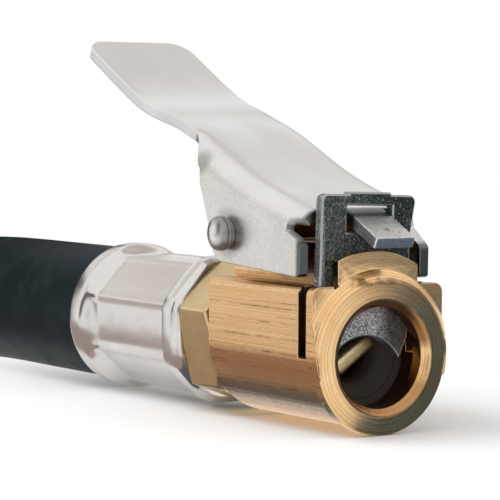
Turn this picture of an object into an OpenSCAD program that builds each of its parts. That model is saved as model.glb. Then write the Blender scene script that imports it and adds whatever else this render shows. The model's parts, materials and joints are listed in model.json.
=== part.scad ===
// Clip-on tyre valve chuck with lever lock, crimped to a short rubber air hose.
// Millimetres. +X points out of the mouth, +Z is up on the lever side.
// The origin is the centre of the mouth where its bore meets the bevel of the rim.

/* [Mouth and nose] */
// Radius of the round front rim
rim_radius = 7.75; // [7:0.05:9]
// Radius of the mouth bore
mouth_radius = 5.05; // [4.6:0.05:5.6]
// Depth of the bevel inside the mouth
mouth_bevel = 0.7; // [0.3:0.1:1]
// How far the rim stands forward of the shoulders
nose_step = 1.05; // [0.6:0.05:2]
// Height of the inlet's axis above the mouth's axis
inlet_rise = 0.8; // [0:0.1:1.2]

/* [Housing] */
// Half of the housing's width
half_width = 8; // [7.5:0.1:9]
// Length of the housing
body_length = 19.9; // [18:0.1:26]
// Height of the flat shoulders
shoulder_height = 7.2; // [6.5:0.1:8]
// Rounding of the shoulders' outer edges
shoulder_round = 1; // [0.4:0.1:1.6]
// Half of the width of the rib along the top
rib_half_width = 4.85; // [4:0.05:5.2]
// Radius of the turned top of the rib at the nose
rib_turned_radius = 10.6; // [9.6:0.1:11.4]
// Sideways shift of that turned top's centre
rib_turned_shift = -0.6; // [-0.8:0.1:0.8]
// Height of the rib between the jaw and the lever pin
rib_height = 11.4; // [10.4:0.1:12]
// Height of the rib round the lever pin
boss_height = 14; // [13.6:0.1:15]
// Wall in front of the jaw slot
slot_wall = 1.05; // [0.8:0.05:2]
// Width of the jaw slot
slot_width = 1.35; // [1:0.05:2]
// Height of the jaw slot's floor
slot_floor = 0.1; // [-0.4:0.1:0.6]

/* [Jaw plate] */
// Sideways clearance of the jaw plate in its slot, each side
jaw_gap = 0.1; // [0.05:0.01:0.1]
// Reach of the jaw plate's straight side
jaw_straight_half = 5.85; // [5.2:0.05:6]
// Reach of the stepped side, below the step
jaw_neck_half = 5.05; // [4.9:0.05:5.4]
// Reach of the stepped side at the top of the head
jaw_head_half = 5.6; // [5.4:0.05:6]
// Height where the step begins
jaw_head_start = 13; // [12.5:0.1:14]
// Height of the jaw plate's top edge
jaw_top = 16.1; // [15.8:0.1:17]
// Radius of the biting edge
bite_radius = 4.8; // [4.5:0.1:5.2]
// Height of the top of the biting edge
bite_height = 2; // [1.6:0.1:2.6]
// Sideways slip of the loose jaw plate, at its window
jaw_slip = -0.3; // [-0.4:0.1:0.3]
// Lean of the loose jaw plate
jaw_lean = 1.5; // [-1.5:0.1:1.5]

/* [Lever] */
// Thickness of the lever's sheet
sheet = 1.2; // [1:0.1:1.5]
// Bend radius along the lever's top edges
lever_bend = 2.8; // [2:0.1:3.4]
// Half width of the lever's tail
tail_half_width = 6.6; // [5.6:0.1:7.2]
// Half width of the tongue through the jaw plate
tongue_half_width = 2.35; // [2:0.05:2.9]
// How much lower the lever's right wall reaches
right_drop = 0.5; // [0:0.1:0.6]
// Distance of the lever pin from the housing's rear end
pin_to_rear = 3.5; // [3:0.1:5]
// Height of the lever pin
pin_height = 11.8; // [11.4:0.1:12.2]
// Radius of the lever pin
pin_radius = 1.5; // [1.2:0.05:1.6]
// Radius of the pin's turned end
stud_radius = 1.77; // [1.7:0.01:2.2]
// How far the pin's turned end stands out
stud_length = 1.3; // [1.2:0.1:3]

/* [Valve inside] */
// Depth of the mouth in front of the gasket
mouth_depth = 4.2; // [4:0.1:5]
// Thickness of the mouth gasket
gasket_thick = 3.4; // [3:0.1:4]
// How much the bore widens behind the jaw's front wall
bore_relief = 0.2; // [0.2:0.05:0.3]
// How deep the gasket sits in its groove
groove_depth = 0.45; // [0.3:0.05:0.6]
// Radius of the passage through the gasket
passage_radius = 3; // [2.9:0.05:3.1]
// Thickness of the washer behind the gasket
backing_thick = 0.6; // [0.4:0.1:1]
// Thickness of the wall that carries the seat
seat_wall = 1; // [0.8:0.1:1.4]
// Radius of the chamber behind the seat
chamber_radius = 4.3; // [4:0.1:4.6]
// Half width of the blade that opens the tyre valve
blade_half_width = 2.75; // [2:0.05:2.8]
// Thickness of that blade
blade_thick = 1.05; // [0.8:0.05:1.4]
// Turn of the blade about the axis
blade_turn = 35; // [0:1:90]
// Travel of the depressor
depressor_travel = 1.6; // [1:0.1:2]

/* [Inlet and ferrule] */
// Radius of the thread that screws into the housing
tail_thread_radius = 4.85; // [4.6:0.05:5.2]
// Width of the hexagon across its flats
hex_across = 14.5; // [13:0.1:14.6]
// Length of the hexagon
hex_length = 6; // [5:0.5:8]
// Turn of the hexagon about the axis
hex_turn = 41; // [0:1:59]
// Radius of the ferrule's round ends
ferrule_radius = 8.3; // [8.1:0.05:8.5]
// Width of the eight crimped flats, across
crimp_across = 14.2; // [13.8:0.1:14.8]
// Width of the eight flats of the ferrule's front collar, across
collar_across = 15.9; // [15.4:0.1:16.6]
// Length of that collar
collar_length = 2.8; // [2.4:0.1:4]
// Length of the ferrule
ferrule_length = 22.9; // [20:0.1:28]
// Turn of the crimped flats about the axis
crimp_turn = 2; // [-20:1:20]
// Bore of the hose tails
air_radius = 1.9; // [1.5:0.1:2.3]

/* [Hose] */
// Radius of the hose
hose_radius = 7.65; // [7.2:0.05:7.8]
// Radius of the hose's turn on the table
turn_radius = 62; // [61:1:80]
// Straight run between the ferrule and the turn
hose_straight = 45; // [30:1:80]
// How far the returning run reaches past the turn
hose_return = 55; // [45:1:120]

/* [Far end] */
// Radius of the male pipe thread
pipe_thread_radius = 6.58; // [6:0.01:7]
// Length of the male pipe thread
pipe_thread_length = 11; // [8:0.5:14]
// Width of the far hexagon across its flats
far_hex_across = 17; // [16:0.5:17]
// Length of the far hexagon
far_hex_length = 7; // [6:0.5:10]

/* [Hidden] */
// Running clearance of turned fits
fit = 0.05;
// Overlap used where shapes are merged or cut through
lap = 0.4;
// Smoothness of the drawn circles
$fn = 96;
// Everything taller or wider than the part
big = 60;

brass = [0.78, 0.60, 0.36];
nickel = [0.80, 0.79, 0.76];
steel = [0.50, 0.51, 0.53];
spring_steel = [0.62, 0.63, 0.66];
rubber = [0.06, 0.07, 0.07];
fibre = [0.60, 0.20, 0.14];

// Planes along the axis, counted backwards from the rim
rim_x = mouth_bevel;
face_x = rim_x - nose_step;
slot_front_x = face_x - slot_wall;
slot_rear_x = slot_front_x - slot_width;
gasket_x = rim_x - mouth_depth;
groove_radius = mouth_radius + groove_depth;
backing_x = gasket_x - gasket_thick;
seat_front_x = backing_x - backing_thick;
seat_x = seat_front_x - seat_wall;
seal_gap = 0.1;
seal_thick = 0.8;
flange_x = seat_x - seal_gap - seal_thick;
flange_thick = 1;
spring_front_x = flange_x - flange_thick;
tail_front_x = spring_front_x - depressor_travel - 1.2;
spring_rear_x = tail_front_x - 2.2;
rear_x = rim_x - body_length;
pin_x = rear_x + pin_to_rear;
washer_thick = 0.5;
hex_front_x = rear_x - washer_thick;
hex_rear_x = hex_front_x - hex_length;
ferrule_front_x = hex_rear_x - 0.2;
ferrule_rear_x = ferrule_front_x - ferrule_length;
bell_depth = 2.7;
crimp_wall = 1;
crimp_bore = crimp_across / 2 - crimp_wall;
bell_bore = hose_radius + fit;
hose_start_x = ferrule_rear_x + bell_depth;
hose_end_front_x = ferrule_front_x - 1.4;
shank_radius = 4.1;
shank_rear_x = hose_start_x + 1.3;
neck_radius = 4.9;

// The jaw plate's window, which the lever's tongue reaches through
window_top = jaw_top - 1.1;
window_low = window_top - 2.65;

// The surface the part lies on, and the drop of the hose onto it
table_z = -rim_radius;
rest_z = table_z + hose_radius;
turn_x = ferrule_rear_x - hose_straight;
far_y = -2 * turn_radius;
far_shift_x = turn_x + hose_return - ferrule_rear_x;
far_z = max(inlet_rise, table_z + far_hex_across / 2);

// A round bar along X between two planes
module bar(x0, x1, r, y = 0, z = 0) {
    translate([min(x0, x1), y, z])
        rotate([0, 90, 0])
            cylinder(r = r, h = abs(x1 - x0));
}

// A cone along X, radius ra at xa and rb at xb, xa behind xb
module taper(xa, ra, xb, rb, z = 0) {
    translate([xa, 0, z])
        rotate([0, 90, 0])
            cylinder(r1 = ra, r2 = rb, h = xb - xa);
}

// A ring or shaft turned about an axis along X from points [x, radius]
module turned(points, z = 0) {
    translate([0, 0, z])
        rotate([0, 90, 0])
            rotate_extrude()
                polygon([for (p = points) [p[1], p[0]]]);
}

// A block between two corners
module block(a, b) {
    translate(a)
        cube(b - a);
}

// A prism along Y, its outline given as [x, z] points
module side_prism(points, y0, y1) {
    translate([0, y1, 0])
        rotate([90, 0, 0])
            linear_extrude(height = y1 - y0)
                polygon(points);
}

// ---------------------------------------------------------------- housing

// The drawn bar: round below, flat sides, flat shoulders with rounded edges
module drawn_bar(x0, x1) {
    edge_y = half_width - shoulder_round;
    edge_z = shoulder_height - shoulder_round;
    bar(x0, x1, half_width, 0, inlet_rise);
    block([x0, -half_width, inlet_rise], [x1, half_width, edge_z]);
    block([x0, -edge_y, inlet_rise], [x1, edge_y, shoulder_height]);
    for (side = [-1, 1])
        bar(x0, x1, shoulder_round, side * edge_y, edge_z);
}

// The rib along the top, turned round at the nose and taller round the pin
module rib() {
    boss_front_x = pin_x + 3.4;
    intersection() {
        block([slot_rear_x - lap, -rib_half_width, inlet_rise],
              [face_x, rib_half_width, rib_turned_radius + 1]);
        bar(slot_rear_x - 2 * lap, rim_x, rib_turned_radius, rib_turned_shift);
    }
    block([rear_x, -rib_half_width, inlet_rise], [slot_rear_x, rib_half_width, rib_height]);
    side_prism([[rear_x, inlet_rise], [boss_front_x + 2, inlet_rise], [boss_front_x + 2, rib_height],
                [boss_front_x, boss_height], [rear_x + 1.5, boss_height], [rear_x, boss_height - 3]],
               -rib_half_width, rib_half_width);
}

// The nose: the rim disc and the 45 degree bevel that runs back into the bar
module nose() {
    bar(face_x - lap, rim_x, rim_radius);
    intersection() {
        union() {
            drawn_bar(face_x - lap, rim_x);
            block([face_x - lap, -rib_half_width, 0], [rim_x, rib_half_width, rib_turned_radius]);
        }
        taper(face_x - lap, rim_radius + nose_step + lap, rim_x, rim_radius);
    }
}

module body() {
    groove = 0.45;
    thread_bore = tail_thread_radius + fit;
    color(brass)
        difference() {
            union() {
                drawn_bar(rear_x, face_x);
                rib();
                nose();
            }
            // mouth, its bevel, the groove for the gasket and the washer's seat
            bar(seat_front_x, rim_x + 1, mouth_radius);
            bar(gasket_x - lap, slot_front_x, mouth_radius + bore_relief);
            bar(backing_x, gasket_x, groove_radius);
            taper(0, mouth_radius, rim_x + lap, mouth_radius + mouth_bevel + lap);
            // passage, poppet chamber and the thread for the hose tail
            bar(seat_x - lap, seat_front_x + lap, passage_radius);
            bar(tail_front_x - lap, seat_x, chamber_radius);
            bar(rear_x - 1, tail_front_x, thread_bore, 0, inlet_rise);
            // slot for the jaw plate, open at the top and both sides
            block([slot_rear_x, -big, slot_floor], [slot_front_x, big, big]);
            // cutter runout at the root of the rib
            for (side = [-1, 1])
                translate([rear_x - 1, side * (rib_half_width + groove / 2) - groove / 2,
                           shoulder_height - groove])
                    cube([body_length, groove, 1]);
            // hole for the lever pin
            translate([pin_x, big / 2, pin_height])
                rotate([90, 0, 0])
                    cylinder(r = pin_radius, h = big);
        }
}

module mouth_gasket() {
    funnel_radius = mouth_radius - 0.6;
    funnel_depth = 1.6;
    color(rubber)
        turned([[backing_x, passage_radius], [backing_x, groove_radius],
                [gasket_x, groove_radius], [gasket_x, funnel_radius],
                [gasket_x - funnel_depth, passage_radius]]);
}

module gasket_washer() {
    color(brass)
        turned([[seat_front_x, passage_radius], [seat_front_x, mouth_radius],
                [backing_x, mouth_radius], [backing_x, passage_radius]]);
}

// Brass plunger: a flat blade in front, a flange behind the seat, a guide stem
module depressor() {
    blade_front_x = gasket_x - 0.7;
    blade_rear_x = backing_x + 0.6;
    guide_rear_x = spring_rear_x + depressor_travel + 0.4;
    corner = 0.9;
    stem = 1.7;
    guide = 1.4;
    color(brass) {
        rotate([blade_turn, 0, 0]) {
            block([blade_rear_x - lap, -blade_half_width, -blade_thick / 2],
                  [blade_front_x - corner, blade_half_width, blade_thick / 2]);
            block([blade_front_x - corner - lap, -(blade_half_width - corner), -blade_thick / 2],
                  [blade_front_x, blade_half_width - corner, blade_thick / 2]);
            for (side = [-1, 1])
                translate([blade_front_x - corner, side * (blade_half_width - corner), -blade_thick / 2])
                    cylinder(r = corner, h = blade_thick);
        }
        turned([[guide_rear_x, 0], [guide_rear_x, guide - 0.3],
                [guide_rear_x + 0.3, guide], [spring_front_x, guide],
                [spring_front_x, chamber_radius - lap], [flange_x, chamber_radius - lap],
                [flange_x, stem], [blade_rear_x, stem], [blade_rear_x + 0.8, 0]]);
    }
}

module poppet_seal() {
    stem = 1.7;
    outer = chamber_radius - lap;
    color(rubber)
        turned([[flange_x, stem], [flange_x, outer], [flange_x + seal_thick - 0.2, outer],
                [flange_x + seal_thick, outer - 0.2], [flange_x + seal_thick, stem]]);
}

// ------------------------------------------------------------ swept shapes

function unit(v) = v / norm(v);
function ring(c, t, r, sides, across) =
    let (u = unit(cross(t, across)), w = cross(u, t))
    [for (k = [0 : sides - 1]) c + r * (cos(360 * k / sides) * u + sin(360 * k / sides) * w)];
function along(path, i) =
    unit(path[min(i + 1, len(path) - 1)] - path[max(i - 1, 0)]);

// A round wire or hose along a path that never runs along the direction across
module sweep(path, r, sides, across) {
    last = len(path) - 1;
    points = [for (i = [0 : last]) each ring(path[i], along(path, i), r, sides, across)];
    walls = [for (i = [0 : last - 1]) for (k = [0 : sides - 1])
             let (n = (k + 1) % sides)
             [i * sides + k, (i + 1) * sides + k, (i + 1) * sides + n, i * sides + n]];
    cap0 = [for (k = [0 : sides - 1]) k];
    cap1 = [for (k = [sides - 1 : -1 : 0]) last * sides + k];
    polyhedron(points = points, faces = concat(walls, [cap0, cap1]), convexity = 8);
}

module poppet_spring() {
    wire = 0.25;
    coil = 2.35;
    turns = 4;
    steps = 14;
    length = spring_front_x - spring_rear_x - 2 * (wire + fit);
    path = [for (i = [0 : turns * steps])
            [spring_front_x - wire - fit - length * i / (turns * steps),
             coil * cos(360 * i / steps), coil * sin(360 * i / steps)]];
    color(spring_steel)
        sweep(path, wire, 8, [1, 0, 0]);
}

// ------------------------------------------------------------------- jaw

// Outline of the jaw plate as [y, z]: one side straight, the other stepped
module jaw_outline(corner) {
    tip_z = -0.6;
    tip_half = 4;
    tip_rise = 2.5;
    polygon([[-jaw_straight_half, jaw_top - corner], [-jaw_straight_half, tip_z + tip_rise],
             [-tip_half, tip_z], [tip_half, tip_z], [jaw_neck_half, tip_z + tip_rise],
             [jaw_neck_half, jaw_head_start - 1], [jaw_head_half, jaw_top - corner],
             [jaw_head_half - corner, jaw_top], [corner - jaw_straight_half, jaw_top]]);
    for (y = [corner - jaw_straight_half, jaw_head_half - corner])
        translate([y, jaw_top - corner])
            circle(r = corner);
    // low tab left between the corners by the punch
    translate([-2.6, jaw_top - 1])
        square([5.2, 1.25]);
}

module jaw_plate() {
    front = slot_front_x - jaw_gap;
    rear = slot_rear_x + jaw_gap;
    window_half = tongue_half_width + jaw_gap + abs(jaw_slip);
    color(steel)
        translate([0, jaw_slip, window_low])
            rotate([-jaw_lean, 0, 0])
            translate([0, 0, -window_low])
            difference() {
                translate([rear, 0, 0])
                    rotate([90, 0, 90])
                        linear_extrude(height = front - rear)
                            jaw_outline(0.7);
                // window for the lever's tongue
                block([rear - 1, -window_half, window_low], [front + 1, window_half, window_top]);
                // biting edge
                bar(rear - 1, front + 1, bite_radius, 0, bite_height - bite_radius);
            }
}

// ----------------------------------------------------------------- lever

// Points [x, z] placed from the jaw's window, or from the lever pin
function at_jaw(list) = [for (p = list) [slot_rear_x + p[0], window_top + p[1]]];
function at_pin(list) = [for (p = list) [pin_x + p[0], pin_height + p[1]]];

// Top line of the lever: tongue, the channel's two runs, tail
tongue_line = at_jaw([[-1.1, -0.1], [0.1, -0.4], [0.9, -0.8], [5.3, -3]]);
channel_line = concat(at_jaw([[-0.1, -0.4]]), at_pin([[1.4, 6.2], [-10.6, 11.5]]));
tail_root = channel_line[1] + 3 / 8 * (channel_line[2] - channel_line[1]);
tail_line = concat([tail_root, channel_line[2]],
                   at_pin([[-14.1, 12.3], [-18.1, 13], [-21.1, 14.3], [-26.6, 17.2]]));
tail_end = at_pin([[-32.6, 20.4]])[0];

// Outline of the lever's walls, rear edge from the top down, then the front edge
rear_edge = at_pin([[-4.5, 8.8], [-5.5, 7.4], [-5.5, 5.3], [-4.7, 3.3], [-3.8, 1], [-3.1, -1.6],
                    [-2.5, -2.6], [-1.7, -3]]);
front_edge = at_jaw([[-0.1, -7], [0.1, -6.7], [0.1, -4], [-0.5, -3.3], [-2.4, -2.3], [-1.9, -1.7],
                     [-1, -1.2], [-0.1, -1]]);

function below(a, b) = let (d = unit(b - a)) [d[1], -d[0]] * (b[0] > a[0] ? 1 : -1);
function inset(line, t) =
    [for (i = [0 : len(line) - 1])
        line[i] + t * below(line[max(i - 1, 0)], line[min(i + 1, len(line) - 1)])];

// Straight bar with two rounded top edges, its top along the line through a and b
module channel_run(a, b, half, bend, drop) {
    run_on = 30;
    depth = 20;
    translate([a[0], 0, a[1]])
        rotate([0, atan2(a[1] - b[1], b[0] - a[0]), 0])
            translate([-run_on, 0, -drop])
                rotate([90, 0, 90])
                    linear_extrude(height = norm(b - a) + 2 * run_on)
                        union() {
                            translate([-half, -depth])
                                square([2 * half, depth - bend]);
                            translate([bend - half, -depth])
                                square([2 * (half - bend), depth]);
                            for (side = [-1, 1])
                                translate([side * (half - bend), -bend])
                                    circle(r = bend);
                        }
}

// The top line steepens backwards, so the two runs together follow it
module channel(half, bend, drop) {
    channel_run(channel_line[1], channel_line[0], half, bend, drop);
    channel_run(channel_line[2], channel_line[1], half, bend, drop);
}

// A strip of sheet, its top along a line of [x, z] points
module strip(line, half) {
    under = inset(line, sheet);
    side_prism(concat(line, [for (i = [len(line) - 1 : -1 : 0]) under[i]]), -half, half);
}

// The same edge with some of its points lowered
function lowered(edge, first, last) =
    [for (i = [0 : len(edge) - 1]) edge[i] - [0, i >= first && i <= last ? right_drop : 0]];

module lever() {
    above = [front_edge[7] + [0, 6], rear_edge[0] + [0, 10]];
    left_outline = concat(rear_edge, front_edge, above);
    right_outline = concat(lowered(rear_edge, 5, 7), lowered(front_edge, 0, 3), above);
    right_y = half_width - lever_bend - 0.6;
    corner = 2.4;
    last = tail_line[len(tail_line) - 1];
    end_run = norm(tail_end - last);
    color(nickel)
        difference() {
            union() {
                // folded channel
                difference() {
                    intersection() {
                        channel(half_width, lever_bend, 0);
                        union() {
                            side_prism(left_outline, -half_width - 1, right_y);
                            side_prism(right_outline, right_y - lap, half_width + 1);
                        }
                    }
                    channel(half_width - sheet, lever_bend - sheet, sheet);
                }
                strip(tail_line, tail_half_width);
                strip(tongue_line, tongue_half_width);
                // rounded end of the tail
                translate([last[0], 0, last[1]])
                    rotate([0, atan2(tail_end[1] - last[1], last[0] - tail_end[0]), 0])
                        translate([0, 0, -sheet])
                            linear_extrude(height = sheet)
                                union() {
                                    translate([corner - end_run, -tail_half_width])
                                        square([end_run - corner + lap, 2 * tail_half_width]);
                                    translate([-end_run, corner - tail_half_width])
                                        square([end_run, 2 * (tail_half_width - corner)]);
                                    for (side = [-1, 1])
                                        translate([corner - end_run, side * (tail_half_width - corner)])
                                            circle(r = corner);
                                }
            }
            translate([pin_x, big / 2, pin_height])
                rotate([90, 0, 0])
                    cylinder(r = pin_radius + fit, h = big);
        }
}

// Pin with a turned, grooved end on one side and a peened head on the other
module lever_pin() {
    stud_y = half_width + fit;
    groove_y = stud_y + stud_length - 0.85;
    dome = 0.45;
    dome_radius = (stud_radius * stud_radius + dome * dome) / (2 * dome);
    color(nickel)
        translate([pin_x, 0, pin_height])
            rotate([90, 0, 0]) {
                translate([0, 0, -stud_y - lap])
                    cylinder(r = pin_radius, h = 2 * stud_y + 2 * lap);
                translate([0, 0, stud_y])
                    cylinder(r = stud_radius - 0.15, h = groove_y - stud_y);
                translate([0, 0, groove_y - lap])
                    cylinder(r = pin_radius - 0.2, h = 1);
                translate([0, 0, groove_y + 0.42])
                    cylinder(r = stud_radius, h = 0.43);
                intersection() {
                    translate([0, 0, stud_y + stud_length - lap])
                        cylinder(r = stud_radius, h = 2);
                    translate([0, 0, stud_y + stud_length + dome - dome_radius])
                        sphere(r = dome_radius);
                }
                translate([0, 0, -stud_y - 0.5])
                    cylinder(r = stud_radius + 0.5, h = 0.5);
                translate([0, 0, -stud_y - 0.9])
                    cylinder(r1 = stud_radius, r2 = stud_radius + 0.5, h = 0.4);
            }
}

module pin_ring() {
    ring_y = half_width + fit + stud_length - 0.85;
    color(nickel)
        translate([pin_x, -ring_y, pin_height])
            rotate([90, 0, 0])
                difference() {
                    cylinder(r = stud_radius + 0.03, h = 0.4);
                    translate([0, 0, -1])
                        cylinder(r = pin_radius - 0.2, h = 3);
                }
}

// Torsion spring round the pin, between the rib and the lever's left wall
module lever_spring() {
    wire = 0.3;
    coil = 2.4;
    mid_y = (rib_half_width + half_width - sheet) / 2;
    steps = 24;
    step_angle = 20;
    start = 293;
    pitch = 2 * wire + 0.05;
    sweep_y = pitch * steps * step_angle / 360;
    path = concat(
        [[pin_x - 3, -mid_y + sweep_y / 2, shoulder_height + wire + 0.1]],
        [for (i = [0 : steps])
            [pin_x + coil * cos(start + step_angle * i),
             -mid_y + sweep_y / 2 - sweep_y * i / steps,
             pin_height + coil * sin(start + step_angle * i)]],
        [[pin_x - 5.4, -mid_y - sweep_y / 2, pin_height + 6.4]]);
    color(spring_steel)
        sweep(path, wire, 8, [0, 1, 0]);
}

// ------------------------------------------------------- inlet and ferrule

// Six flats about the inlet's axis, both ends bevelled
module hexagon(x0, x1, across, turn) {
    corner = across / sqrt(3);
    bevel = 0.6;
    face = across / 2 - 0.1;
    intersection() {
        translate([x0, 0, 0])
            rotate([turn, 0, 0])
                rotate([0, 90, 0])
                    rotate([0, 0, 90])
                        cylinder(r = corner, h = x1 - x0, $fn = 6);
        turned([[x0, 0], [x0, face], [x0 + bevel, corner + 0.05], [x1 - bevel, corner + 0.05],
                [x1, face], [x1, 0]]);
    }
}

// Barbed shank that the hose is pushed over, with the neck the ferrule grips
module shank() {
    barb = 0.45;
    pitch = 3.2;
    count = 4;
    turned(concat(
        [[shank_rear_x, 0], [shank_rear_x, shank_radius - barb]],
        [for (i = [0 : count - 1]) each [
            [shank_rear_x + pitch * i + pitch - 0.2, shank_radius],
            [shank_rear_x + pitch * (i + 1), shank_radius - (i < count - 1 ? barb : 0)]]],
        [[hose_end_front_x + 0.1, shank_radius], [hose_end_front_x + 0.1, neck_radius],
         [hex_rear_x + lap, neck_radius], [hex_rear_x + lap, 0]]));
}

module hose_tail() {
    color(brass)
        translate([0, 0, inlet_rise])
            difference() {
                union() {
                    turned([[hex_front_x - lap, 0], [hex_front_x - lap, tail_thread_radius],
                            [tail_front_x - 0.5, tail_thread_radius],
                            [tail_front_x, tail_thread_radius - 0.5], [tail_front_x, 0]]);
                    hexagon(hex_rear_x, hex_front_x, hex_across, hex_turn);
                    shank();
                }
                bar(shank_rear_x - 1, tail_front_x + 1, air_radius);
                bar(spring_rear_x, tail_front_x + 1, chamber_radius - 1.2, 0, -inlet_rise);
            }
}

module tail_washer() {
    color(nickel)
        turned([[hex_front_x, tail_thread_radius + fit], [hex_front_x, 6.5],
                [rear_x, 6.5], [rear_x, tail_thread_radius + fit]], inlet_rise);
}

// Eight flats about the axis, in line with the crimp
module eight_flats(x0, x1, across) {
    translate([x0, 0, 0])
        rotate([crimp_turn + 22.5, 0, 0])
            rotate([0, 90, 0])
                cylinder(r = across / 2 / cos(22.5), h = x1 - x0, $fn = 8);
}

// Crimped ferrule: bell at the hose, eight flats pressed in, blunt eight-sided collar
module ferrule_shape() {
    flat = crimp_across / 2;
    f = ferrule_front_x;
    c = f - collar_length;
    r = ferrule_rear_x;
    difference() {
        union() {
            eight_flats(r + 3, f - 1, crimp_across);
            // flared hose end
            turned([[r, 0], [r, ferrule_radius - 0.5], [r + 0.15, ferrule_radius - 0.15],
                    [r + 0.5, ferrule_radius], [r + 2.4, ferrule_radius],
                    [r + 3, ferrule_radius - 0.2], [r + 3.6, flat + 0.3], [r + 4.6, flat - 0.3],
                    [r + 4.6, 0]]);
            // collar at the front
            intersection() {
                turned([[c - 0.6, 0], [c - 0.6, flat - 0.3], [c, flat + 0.5],
                        [c + 0.6, ferrule_radius], [f - 1, ferrule_radius],
                        [f - 0.4, ferrule_radius - 0.3], [f, ferrule_radius - 1], [f, 0]]);
                eight_flats(c - 1, f + 1, collar_across);
            }
        }
        bar(r - 1, hose_start_x, bell_bore);
        bar(hose_start_x - lap, hose_end_front_x, crimp_bore);
        bar(hose_end_front_x - lap, f + 1, neck_radius);
    }
}

// The hose where it is squeezed inside the ferrule
module hose_end_shape() {
    turned([[hose_start_x, shank_radius], [hose_start_x, crimp_bore],
            [hose_end_front_x, crimp_bore], [hose_end_front_x, shank_radius]]);
}

module ferrule() {
    color(nickel)
        translate([0, 0, inlet_rise])
            ferrule_shape();
}

module hose_end() {
    color(rubber)
        translate([0, 0, inlet_rise])
            hose_end_shape();
}

// ------------------------------------------------------------------- hose

far_start_x = hose_start_x + far_shift_x;
ease = hose_straight / 3;
hose_path = concat(
    [[hose_start_x, 0, inlet_rise], [ferrule_rear_x, 0, inlet_rise],
     [turn_x + 2 * ease, 0, inlet_rise - 0.1], [turn_x + ease, 0, rest_z + 0.2]],
    [for (a = [0 : 12 : 180])
        [turn_x - turn_radius * sin(a), -turn_radius + turn_radius * cos(a), rest_z]],
    [[turn_x + ease, far_y, rest_z + 0.2], [turn_x + 2 * ease, far_y, far_z - 0.1],
     [far_start_x - bell_depth, far_y, far_z], [far_start_x, far_y, far_z]]);

module hose() {
    color(rubber)
        sweep(hose_path, hose_radius, 12, [0, 0, 1]);
}

// ---------------------------------------------------------------- far end

module far_place() {
    translate([far_shift_x, far_y, far_z])
        children();
}

module far_ferrule() {
    color(nickel)
        far_place()
            ferrule_shape();
}

module far_hose_end() {
    color(rubber)
        far_place()
            hose_end_shape();
}

far_hex_x = hex_rear_x + far_hex_length;
far_thread_x = far_hex_x + pipe_thread_length;

module far_tail() {
    relief = 0.9;
    washer_room = 1.6;
    color(brass)
        far_place()
            difference() {
                union() {
                    shank();
                    hexagon(hex_rear_x, far_hex_x, far_hex_across, 0);
                    turned([[far_hex_x - lap, 0], [far_hex_x - lap, pipe_thread_radius - relief],
                            [far_hex_x + washer_room, pipe_thread_radius - relief],
                            [far_hex_x + washer_room + relief, pipe_thread_radius],
                            [far_thread_x - relief, pipe_thread_radius],
                            [far_thread_x, pipe_thread_radius - relief], [far_thread_x, 0]]);
                }
                bar(shank_rear_x - 1, far_thread_x + 1, air_radius);
                taper(far_thread_x - 2, air_radius, far_thread_x + lap, air_radius + 2 + lap);
            }
}

module far_washer() {
    color(fibre)
        far_place()
            turned([[far_hex_x, pipe_thread_radius - 0.9], [far_hex_x, far_hex_across / 2 - 0.4],
                    [far_hex_x + 1.4, far_hex_across / 2 - 0.4],
                    [far_hex_x + 1.4, pipe_thread_radius - 0.9]]);
}

body();
mouth_gasket();
gasket_washer();
depressor();
poppet_seal();
poppet_spring();
jaw_plate();
lever();
lever_pin();
pin_ring();
lever_spring();
hose_tail();
tail_washer();
ferrule();
hose_end();
hose();
far_hose_end();
far_ferrule();
far_tail();
far_washer();
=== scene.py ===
import json
import math

import bmesh
import bpy
from mathutils import Matrix, Vector

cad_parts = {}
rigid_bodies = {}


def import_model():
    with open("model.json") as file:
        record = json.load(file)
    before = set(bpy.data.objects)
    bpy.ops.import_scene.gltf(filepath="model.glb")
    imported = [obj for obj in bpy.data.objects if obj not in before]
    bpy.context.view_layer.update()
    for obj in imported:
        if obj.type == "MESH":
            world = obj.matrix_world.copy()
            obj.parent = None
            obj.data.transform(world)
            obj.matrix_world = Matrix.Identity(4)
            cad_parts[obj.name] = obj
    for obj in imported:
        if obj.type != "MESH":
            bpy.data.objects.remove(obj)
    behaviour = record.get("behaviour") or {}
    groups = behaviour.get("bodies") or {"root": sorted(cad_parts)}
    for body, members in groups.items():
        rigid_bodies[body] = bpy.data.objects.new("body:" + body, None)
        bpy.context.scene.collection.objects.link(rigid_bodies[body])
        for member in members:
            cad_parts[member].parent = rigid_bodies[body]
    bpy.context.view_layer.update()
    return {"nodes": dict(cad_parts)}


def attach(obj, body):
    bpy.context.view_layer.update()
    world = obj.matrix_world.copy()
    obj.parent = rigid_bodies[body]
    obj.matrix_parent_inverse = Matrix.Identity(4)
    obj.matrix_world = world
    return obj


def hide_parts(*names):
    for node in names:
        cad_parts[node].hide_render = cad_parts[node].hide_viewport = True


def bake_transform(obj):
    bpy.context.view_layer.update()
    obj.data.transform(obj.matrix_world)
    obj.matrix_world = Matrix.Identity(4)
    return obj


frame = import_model()
nodes = frame["nodes"]
scene = bpy.context.scene
MM = 0.001

# Planes of the chuck along X and its main sizes, in millimetres, as in the solids
RIM_X, RIM_REAR_X, SLOT_FRONT_X, SLOT_REAR_X = 0.7, -0.75, -1.4, -2.75
HALF_WIDTH, RISE, SHOULDER_Z = 8.0, 0.8, 7.2
PIN = (-15.7, 0, 11.8)
FOLD_END = (-20.9, -7.9, 19.1)  # where the lever's near fold runs out into its wall
FERRULE_FRONT_X, FERRULE_REAR_X = -25.9, -48.8
FAR_SHIFT = (10, -124, 0)
PASSAGE_R = 3.0
FLOOR_Z = -7.75


def linked(name, data):
    obj = bpy.data.objects.new(name, data)
    scene.collection.objects.link(obj)
    return obj


# ------------------------------------------------------------------ camera

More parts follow.
